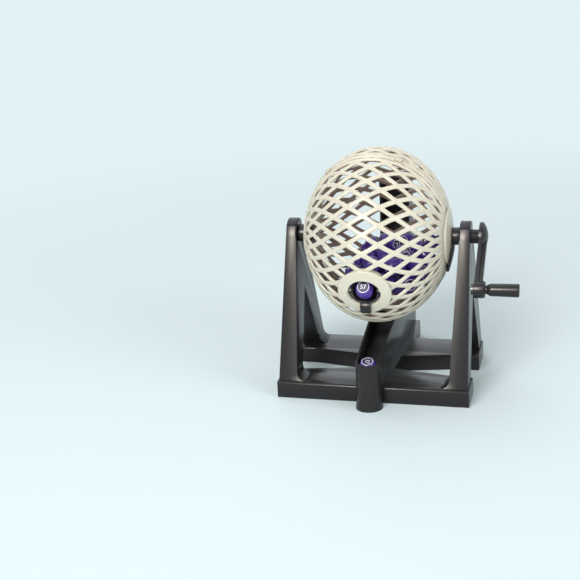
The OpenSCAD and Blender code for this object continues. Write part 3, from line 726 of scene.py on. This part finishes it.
class BINGO_OT_lattice(bpy.types.Operator):
    """Make both lattice halves of the cage, with their seam rims and the hole for the port"""

    bl_idname = "bingo_cage.lattice"
    bl_label = "Lattice halves"

    def execute(self, context):
        cage = settings().cage
        lattice = Lattice(cage)
        port_cut = cage.port_collar / 2 + PORT_CUT
        for name, side in (("cage_front", -1), ("cage_rear", 1)):
            bm = lattice.half(side, cage.seam_gap)
            bmesh.ops.transform(bm, matrix=lattice.turn, verts=bm.verts)
            mesh = mesh_of(bm, name, LATTICE_SOFT)
            for finish in CREAM_AND_PAINTED_SHADE:
                mesh.materials.append(finish())
            if side < 0:
                drill = turned([(0, 0), (port_cut, 0), (port_cut, cage.diameter), (0, cage.diameter)])
                bmesh.ops.transform(drill, matrix=port_place(), verts=drill.verts)
                mesh = cut_away(mesh, drill)
            bm = form_of(mesh)
            join_into(bm, lattice.rim(side, cage), lattice.turn)
            add_piece(f"{name}_lattice", bm, "cage", f"{name}_half", CREAM_AND_PAINTED_SHADE, LATTICE_SOFT)
        return {"FINISHED"}


# Plate, nose and heel of a clip: low and high corner in shares of half its block's size, edge and finish
CLIP_FORMS = (
    # The plate's finish 1 is the painted shade, standing in for the shade round the clip
    ((-1.0, -1.0, -1.0), (1.0, 1.0, 0.0), 0.5 * MM, 1),
    ((-0.7, 0.1, -0.5), (0.7, 0.85, 1.9), 0.6 * MM, 0),
    ((-0.85, -0.8, -0.5), (0.85, -0.3, 1.5), 0.5 * MM, 0),
)


class BINGO_OT_clips(bpy.types.Operator):
    """Make the snap clips across the seam, each a plate with a raised nose and a heel"""

    bl_idname = "bingo_cage.clips"
    bl_label = "Snap clips"

    def execute(self, context):
        bm = bmesh.new()
        for place, size in block_places("seam_clips"):
            for low, high, edge, finish in CLIP_FORMS:
                form = bmesh.new()
                block(form, Vector(low) * size / 2, Vector(high) * size / 2, edge)
                join_into(bm, form, place, finish)
        add_piece("seam_snap_clips", bm, "cage", "seam_clips", CREAM_AND_PAINTED_SHADE)
        return {"FINISHED"}


HUB_BORE = 7.6 * MM
HUB_EDGE = 2.2 * MM
HUB_SHOULDER = 1.5 * MM
DOME_STEPS = 14


class BINGO_OT_hubs(bpy.types.Operator):
    """Make the domed hub plates at both ends of the cage"""

    bl_idname = "bingo_cage.hubs"
    bl_label = "Hub plates"

    def execute(self, context):
        radius = (HUB_HIGH.y - HUB_LOW.y) / 2
        height = HUB_HIGH.x - HUB_LOW.x
        rise = height - HUB_EDGE
        sphere = (radius * radius + rise * rise) / 2 / rise
        outline = rounded([
            (HUB_BORE, 0, 0), (radius, 0, 0.5 * MM), (radius, HUB_EDGE, 1.1 * MM),
            (radius - 6 * MM, HUB_EDGE + 1.4 * MM, 0)], closed=False)[:-1]
        start = radius - HUB_SHOULDER
        for k in range(1, DOME_STEPS + 1):
            r = start + (HUB_BORE - start) * k / DOME_STEPS
            outline.append((r, height - sphere + math.sqrt(sphere * sphere - r * r)))
        for side, way in (("left", -1), ("right", 1)):
            bm = turned(outline, steps=96, closed=True)
            place = Matrix.Scale(way, 4, (1, 0, 0)) @ along_axle(HUB_LOW.x)
            bmesh.ops.transform(bm, matrix=place, verts=bm.verts)
            add_piece(f"{side}_hub_dome", bm, "cage", f"{side}_hub_plate", [cream_plastic])
        return {"FINISHED"}


PLATE_GAP = 0.2 * MM
COLLAR_WALL = 2 * MM
COLLAR_DEPTH = 8 * MM
THROAT_DROP = 0.9 * MM
THROAT_LAND = 0.8 * MM
SLIT_HALF = 0.85 * MM
SLIT_REACH = 0.8 * MM
PIN_GAP = 0.35 * MM


class BINGO_OT_port(bpy.types.Operator):
    """Make the round plate of the ball port, with the collar and slits that hold the gate's pins"""

    bl_idname = "bingo_cage.port"
    bl_label = "Port plate"

    def execute(self, context):
        cage = settings().cage
        inner = cage.diameter / 2 + PLATE_GAP
        outer = inner + cage.port_thickness
        hole, throat, edge = cage.port_hole / 2, cage.port_throat / 2, cage.port_plate / 2
        collar_in = cage.port_collar / 2
        collar_out = collar_in + COLLAR_WALL
        pivot = (GATE_PIVOT - AXLE).length

        def cap(radius, sphere):
            return math.sqrt(sphere * sphere - radius * radius)

        def arc(start, shares, sphere):
            radii = [start + (edge - start) * share for share in shares]
            return [(radius, cap(radius, sphere), 0) for radius in radii]

        low = cap(throat, inner) - THROAT_DROP
        bottom = pivot - COLLAR_DEPTH
        corners = [
            (throat, low, 0.35 * MM), (throat, low + THROAT_LAND, 0.3 * MM),
            (hole, cap(hole, outer), 0.3 * MM),
            *arc(hole, [k / 6 for k in range(1, 6)], outer),
            (edge, cap(edge, outer), 1.1 * MM), (edge, cap(edge, inner), 0.5 * MM),
            *arc(collar_out, (0.5, 0.25, 0), inner),
            (collar_out, bottom, 0.5 * MM), (collar_in, bottom, 0.5 * MM), (collar_in, low, 0)]
        mesh = mesh_of(turned(rounded(corners), steps=112, closed=True), "port")
        slit = bmesh.new()
        above = inner * 1.2
        bore = settings().gate.pin / 2 + PIN_GAP
        reach = (hole - throat) / 2 + SLIT_REACH
        for way in (-1, 1):
            middle = way * (throat + hole) / 2
            block(slit, Vector((middle - reach, -SLIT_HALF, pivot)),
                  Vector((middle + reach, SLIT_HALF, above)), 0.5 * MM)
            drill = pin_form(bore, collar_in - MM, collar_out + MM)
            turn = Matrix.Rotation(way * math.pi / 2, 4, "Y")
            join_into(slit, drill, Matrix.Translation((0, 0, pivot)) @ turn)
        mesh = cut_away(mesh, slit)
        mesh.transform(port_place())
        add_piece("ball_port_plate", form_of(mesh), "cage", "port_plate", [cream_plastic])
        return {"FINISHED"}


GATE_SHARP = math.radians(50)
PIN_REACH = 1.9 * MM
BOSS_ROOT = 1.2 * MM
BOSS_RISE = 0.2 * MM
SCOOP_STEPS = 26
# Share of a half turn that is left off at each end of the scoop's section
SECTION_END = 0.02
# Bend of the tongue: its middle in Y and Z from the pins, its radius, its first and last angle, its steps
BEND_Y, BEND_Z, BEND = -19.6 * MM, 2.3 * MM, 6 * MM
BEND_FROM, BEND_TO, BEND_STEPS = math.radians(-10), math.radians(95), 12
TONGUE_END = ((-23.4 * MM, 8.0 * MM), (-24.8 * MM, 7.9 * MM))
TONGUE_TAPER = 1.4 * MM


class BINGO_OT_gate(bpy.types.Operator):
    """Make the black gate in the port: a round scoop for one ball, its tongue and its pins"""

    bl_idname = "bingo_cage.gate"
    bl_label = "Ball gate"

    def execute(self, context):
        gate = settings().gate
        bm = self.scoop(gate)
        join_into(bm, self.tongue(gate))
        # The rounded edges take the third finish, a painted highlight
        worn = round_off(bm, sharp_edges(bm, GATE_SHARP), gate.edge, segments=2)
        for face in worn["faces"]:
            face.material_index = 2
        reach = settings().cage.port_collar / 2 + PIN_REACH
        root, rise = gate.half_width - BOSS_ROOT, gate.half_width + BOSS_RISE
        for way in (-1, 1):
            side = Matrix.Rotation(way * math.pi / 2, 4, "Y")
            join_into(bm, pin_form(gate.pin, root, rise, 0.2 * MM, 0.4 * MM), side)
            join_into(bm, pin_form(gate.pin / 2, root, reach, end=0.4 * MM), side, 1)
        pivot = Matrix.Translation((0, 0, (GATE_PIVOT - AXLE).length))
        bmesh.ops.transform(bm, matrix=port_place() @ pivot, verts=bm.verts)
        add_piece("ball_gate_scoop", bm, "gate", "ball_gate", (black_plastic, cream_plastic, worn_edge))
        return {"FINISHED"}

    def section(self, gate, inset, steps=28):
        """Half outline of the barrel from end to end of the pins' axis: place along it and radius."""
        power = 2 / gate.barrel_power
        for k in range(steps + 1):
            angle = math.pi * (SECTION_END + (1 - 2 * SECTION_END) * k / steps)
            along = math.copysign(abs(math.cos(angle)) ** power, math.cos(angle))
            yield (gate.half_width - inset) * along, (gate.barrel - inset) * math.sin(angle) ** power

    def scoop(self, gate):
        """Round shell about the pins' axis, from its front rim under the ball to its back rim."""
        outline = list(self.section(gate, 0)) + list(self.section(gate, gate.wall))[::-1]
        bm = bmesh.new()
        rings = []
        for k in range(SCOOP_STEPS + 1):
            angle = gate.front + (gate.back - gate.front) * k / SCOOP_STEPS
            back, out = -math.sin(angle), math.cos(angle)
            rings.append([bm.verts.new((x, radius * back, radius * out)) for x, radius in outline])
        tube(bm, rings)
        bmesh.ops.recalc_face_normals(bm, faces=bm.faces)
        return bm

    def tongue(self, gate):
        """Strip from the scoop's front rim, out through the hole and down over the plate."""
        half, thick = gate.tongue / 2, gate.tongue_thickness / 2
        angles = [BEND_FROM + (BEND_TO - BEND_FROM) * k / BEND_STEPS for k in range(BEND_STEPS + 1)]
        path = [(BEND_Y + BEND * math.cos(angle), BEND_Z + BEND * math.sin(angle)) for angle in angles]
        path += TONGUE_END
        bm = bmesh.new()
        rings = []
        for k, point in enumerate(path):
            before, after = Vector(path[max(k - 1, 0)]), Vector(path[min(k + 1, len(path) - 1)])
            along = (after - before).normalized()
            across = Vector((-along.y, along.x)) * thick
            width = half - (TONGUE_TAPER if k == len(path) - 1 else 0)
            ring = []
            for way, face in ((-1, -1), (1, -1), (1, 1), (-1, 1)):
                place = Vector(point) + across * face
                ring.append(bm.verts.new((way * width, place.x, place.y)))
            rings.append(ring)
        tube(bm, rings)
        bmesh.ops.recalc_face_normals(bm, faces=bm.faces)
        return bm


# Calling balls

# An axis that leans less than this from upright has no level side of its own
LEAN = 0.3
FOOT_HEIGHT = 5 * MM
FOOT_ROUND = 2.4 * MM
FOOT_STEPS = 8
BELLY_POWER = 0.7
BELLY_STEPS = 22
LABEL_SINK = 0.15 * MM
DIGIT_WEIGHT = 0.12 * MM
SINGLE_DIGIT = 1.25
NUMBER_STEP = 37


def peg_places(node):
    """Place of each ball in a solid: Z along its axis, from its foot to its label."""
    places = [peg_place(points) for points in islands(node)]
    return sorted(places, key=lambda place: tuple(round(v, 5) for v in place.translation))


def peg_place(points):
    """Place of one ball from its points: its axis is the odd one of its three spreads."""
    spread, axes = np.linalg.eigh(np.cov((points - points.mean(0)).T))
    odd = 2 if spread[1] - spread[0] < spread[2] - spread[1] else 0
    axis = Vector(axes[:, odd])
    along = (points - points.mean(0)) @ np.array(axis)
    centre = Vector(points.mean(0)) + axis * float(along.max() + along.min()) / 2
    offset = points - np.array(centre)
    reach = offset @ np.array(axis)
    across = np.linalg.norm(offset - np.outer(reach, axis), axis=1)
    ends = [across[way * reach > np.abs(reach).max() - 10 * WELD].max() for way in (-1, 1)]
    if ends[0] > ends[1]:
        axis.negate()
    up = Vector((0, 0, 1)) - axis * axis.z
    up = up.normalized() if up.length > LEAN else Vector((1, 0, 0))
    across_axis = up.cross(axis).normalized()
    columns = Matrix((across_axis, axis.cross(across_axis), axis)).transposed()
    return Matrix.Translation(centre) @ columns.to_4x4()


def peg_outline(ball):
    """Outline of a ball from foot to label, and the finish of each band: 0 violet, 1 dark, 2 white."""
    low, top = -ball.height / 2, ball.height / 2
    neck_z = low + FOOT_HEIGHT
    neck, label = ball.neck / 2, ball.label / 2
    swell = ball.diameter / 2 - (neck + label) / 2
    points = [(0, low)]
    for k in range(FOOT_STEPS + 1):
        angle = math.pi / 2 * k / FOOT_STEPS
        points.append((ball.foot / 2 - FOOT_ROUND + FOOT_ROUND * math.sin(angle),
                       low + FOOT_ROUND - FOOT_ROUND * math.cos(angle)))
    for k in range(BELLY_STEPS):
        t = k / BELLY_STEPS
        radius = neck * (1 - t) + label * t + swell * math.sin(math.pi * t) ** BELLY_POWER
        points.append((radius, neck_z + t * (top - neck_z)))
    finishes = [0] * len(points)
    points += [(label, top - 0.25 * MM), (label - 0.1 * MM, top - 0.05 * MM), (label - 0.3 * MM, top)]
    finishes += [0, 0, 2]
    ring = label - ball.ring_width
    points += [(ring, top), (ring - 0.12 * MM, top - LABEL_SINK), (0, top - LABEL_SINK)]
    finishes += [1, 1]
    return points, finishes


def number_mesh(number, ball):
    """Flat raised digits of a plain number, in the middle of the label."""
    curve = bpy.data.curves.new("number", "FONT")
    curve.body = str(number)
    curve.size = ball.digit_height * (SINGLE_DIGIT if number < 10 else 1.0)
    curve.align_x, curve.align_y = "CENTER", "CENTER"
    curve.resolution_u = 3
    curve.extrude = ball.ink_height
    curve.offset = DIGIT_WEIGHT
    writing = new_object("number", curve)
    depsgraph = bpy.context.evaluated_depsgraph_get()
    mesh = bpy.data.meshes.new_from_object(writing.evaluated_get(depsgraph))
    bpy.data.objects.remove(writing)
    bm = form_of(mesh)
    bpy.data.meshes.remove(mesh)
    bmesh.ops.remove_doubles(bm, verts=bm.verts, dist=TOUCH)
    return bm


def peg(number, ball):
    outline, finishes = peg_outline(ball)
    bm = turned(outline, steps=40, finishes=finishes)
    label = Matrix.Translation((0, 0, ball.height / 2 - LABEL_SINK))
    join_into(bm, number_mesh(number, ball), label, finish=2)
    return bm


def add_pegs(name, node, body, first):
    ball = settings().ball
    bm = bmesh.new()
    for k, place in enumerate(peg_places(node)):
        number = (first + NUMBER_STEP * k) % ball.highest + 1
        join_into(bm, peg(number, ball), place)
    add_piece(name, bm, body, node, (violet_plastic, label_ink, white_ink), PEG_SOFT)


class BINGO_OT_balls(bpy.types.Operator):
    """Make the heap of calling balls, the ball in the port and the called ball in the cup"""

    bl_idname = "bingo_cage.balls"
    bl_label = "Calling balls"

    def execute(self, context):
        add_pegs("calling_ball_heap", "calling_balls", "stand", first=3)
        add_pegs("ball_in_port", "port_ball", "cage", first=56)
        add_pegs("ball_in_cup", "called_ball", "ball", first=16)
        return {"FINISHED"}


# Stand, track and crank


class BINGO_OT_stand(bpy.types.Operator):
    """Make the base, the two uprights and their bearing caps, with moulded edges"""

    bl_idname = "bingo_cage.stand"
    bl_label = "Stand"

    def execute(self, context):
        stand = settings().stand
        black_copy("moulded_base", "base_frame", "stand", stand.rail_edge)
        for side in ("left", "right"):
            black_copy(f"{side}_moulded_upright", f"{side}_upright", "stand", stand.upright_edge)
            black_copy(f"{side}_round_cap", f"{side}_bearing_cap", "stand", stand.upright_edge)
        return {"FINISHED"}


class BINGO_OT_track(bpy.types.Operator):
    """Make the ball track under the cage and the guide behind it"""

    bl_idname = "bingo_cage.track"
    bl_label = "Ball track"

    def execute(self, context):
        edge = settings().stand.track_edge
        black_copy("moulded_track", "ball_track", "stand", edge)
        black_copy("moulded_rear_guide", "rear_ball_guide", "stand", edge)
        return {"FINISHED"}


class BINGO_OT_axle(bpy.types.Operator):
    """Make the axle stubs and the finger that drives the cage"""

    bl_idname = "bingo_cage.axle"
    bl_label = "Axle"

    def execute(self, context):
        edge = settings().stand.small_edge
        black_copy("left_axle_stub", "left_axle", "cage", edge)
        black_copy("axle_with_finger", "drive_spider", "cage", edge)
        return {"FINISHED"}


class BINGO_OT_crank(bpy.types.Operator):
    """Make the crank arm, its screw, the grip and the pin that the grip turns on"""

    bl_idname = "bingo_cage.crank"
    bl_label = "Crank"

    def execute(self, context):
        stand = settings().stand
        black_copy("crank_lever", "crank_arm", "cage", stand.small_edge)
        black_copy("crank_handle", "crank_grip", "grip", stand.small_edge)
        for name, node in (("crank_slotted_screw", "crank_screw"), ("grip_rivet", "grip_pin")):
            add_piece(name, moulded(node, stand.steel_edge), "cage", node, [blackened_steel])
        return {"FINISHED"}


# Stage

# Size and place of each lamp in metres, under the name of its power's setting
LAMPS = {
    "key": (1.6, (-0.53, -2.34, 1.95)),
    "fill": (1.5, (2.4, -1.0, 1.3)),
    "top": (2.0, (-0.6, 0.7, 2.4)),
    "back": (1.8, (-0.95, 2.5, 1.35)),
    "glint": (0.8, (-0.62, -2.48, 1.46)),
}


class BINGO_OT_stage(bpy.types.Operator):
    """Make the pale floor, the soft lamps and the camera"""

    bl_idname = "bingo_cage.stage"
    bl_label = "Stage"

    def execute(self, context):
        stage = settings().stage
        self.add_floor(stage)
        self.add_world(stage)
        lamps = {name: self.add_lamp(name, getattr(stage, name), *lamp) for name, lamp in LAMPS.items()}
        lamps["glint"].data.color = stage.glint_tint
        lamps["glint"].visible_diffuse = False
        self.add_camera(stage)
        context.scene.view_settings.view_transform = "Standard"
        return {"FINISHED"}

    def add_floor(self, stage):
        """Floor with light and shadow near the object, seen as an even backdrop far from it."""
        bm = bmesh.new()
        bmesh.ops.create_grid(bm, x_segments=4, y_segments=4, size=12.0)
        floor = new_object("floor", mesh_of(bm, "floor"))
        material = bpy.data.materials.new("floor")
        material.use_nodes = True
        tree = material.node_tree
        shader = tree.nodes["Principled BSDF"]
        shader.inputs["Base Color"].default_value = (*stage.backdrop, 1)
        shader.inputs["Roughness"].default_value = 0.8
        shader.inputs["Specular IOR Level"].default_value = 0.2
        even = tree.nodes.new("ShaderNodeEmission")
        even.inputs["Color"].default_value = (*stage.backdrop, 1)
        coords = tree.nodes.new("ShaderNodeTexCoord")
        reach = tree.nodes.new("ShaderNodeVectorMath")
        reach.operation = "LENGTH"
        tree.links.new(coords.outputs["Object"], reach.inputs[0])
        share = range_node(tree, reach.outputs["Value"], 0.0, 1.0, stage.floor_near, stage.floor_far)
        share.node.interpolation_type = "SMOOTHSTEP"
        paths = tree.nodes.new("ShaderNodeLightPath")
        seen = math_node(tree, "MULTIPLY", paths.outputs["Is Camera Ray"], share)
        mix_out(tree, seen, shader.outputs["BSDF"], even.outputs["Emission"], "Material Output")
        floor.data.materials.append(material)

    def add_world(self, stage):
        """Even light, with the backdrop's colour where it is seen or mirrored."""
        world = bpy.data.worlds.new("studio")
        bpy.context.scene.world = world
        world.use_nodes = True
        tree = world.node_tree
        even = tree.nodes["Background"]
        even.inputs["Color"].default_value = (1, 1, 1, 1)
        even.inputs["Strength"].default_value = stage.ambient
        seen = tree.nodes.new("ShaderNodeBackground")
        seen.inputs["Color"].default_value = (*stage.backdrop, 1)
        paths = tree.nodes.new("ShaderNodeLightPath")
        share = paths.outputs["Is Camera Ray"]
        for ray in ("Is Glossy Ray", "Is Transmission Ray"):
            share = math_node(tree, "MAXIMUM", share, paths.outputs[ray])
        mix_out(tree, share, even.outputs["Background"], seen.outputs["Background"], "World Output")

    def add_lamp(self, name, power, size, place):
        lamp = bpy.data.lights.new(f"{name}_lamp", "AREA")
        lamp.energy, lamp.size = power, size
        holder = new_object(lamp.name, lamp)
        holder.location = place
        holder.rotation_euler = (AXLE - Vector(place)).to_track_quat("-Z", "Y").to_euler()
        return holder

    def add_camera(self, stage):
        camera = new_object("camera", bpy.data.cameras.new("camera"))
        camera.data.lens = stage.focal
        level = math.cos(stage.elevation)
        back = Vector((
            math.sin(stage.azimuth) * level, -math.cos(stage.azimuth) * level, math.sin(stage.elevation)))
        camera.location = Vector(stage.aim) + back * stage.distance
        camera.rotation_mode = "QUATERNION"
        level_view = (-back).to_track_quat("-Z", "Y").to_matrix()
        camera.rotation_quaternion = (Matrix.Rotation(stage.roll, 3, back) @ level_view).to_quaternion()
        bpy.context.scene.camera = camera


OPERATORS = (
    BINGO_OT_stage, BINGO_OT_lattice, BINGO_OT_clips, BINGO_OT_hubs, BINGO_OT_port, BINGO_OT_gate,
    BINGO_OT_balls, BINGO_OT_stand, BINGO_OT_track, BINGO_OT_axle, BINGO_OT_crank,
)


class VIEW3D_PT_bingo_cage(bpy.types.Panel):
    """Lists the pieces of the bingo cage."""

    bl_label = "Bingo Cage"
    bl_space_type = "VIEW_3D"
    bl_region_type = "UI"
    bl_category = "Bingo Cage"

    def draw(self, context):
        for operator in OPERATORS:
            self.layout.operator(operator.bl_idname)
        for group in BingoCage.__annotations__:
            values = getattr(settings(), group)
            box = self.layout.box()
            for name in type(values).__annotations__:
                box.prop(values, name)


CLASSES = (
    CageSizes, BallSizes, GateSizes, StandSizes, Finishes, StageSettings, BingoCage, *OPERATORS,
    VIEW3D_PT_bingo_cage,
)


def register():
    for item in CLASSES:
        bpy.utils.register_class(item)
    bpy.types.Scene.bingo_cage = PointerProperty(type=BingoCage)


def unregister():
    del bpy.types.Scene.bingo_cage
    for item in reversed(CLASSES):
        bpy.utils.unregister_class(item)


def main():
    register()
    for operator in OPERATORS:
        group, name = operator.bl_idname.split(".")
        getattr(getattr(bpy.ops, group), name)()


if __name__ == "__main__":
    main()
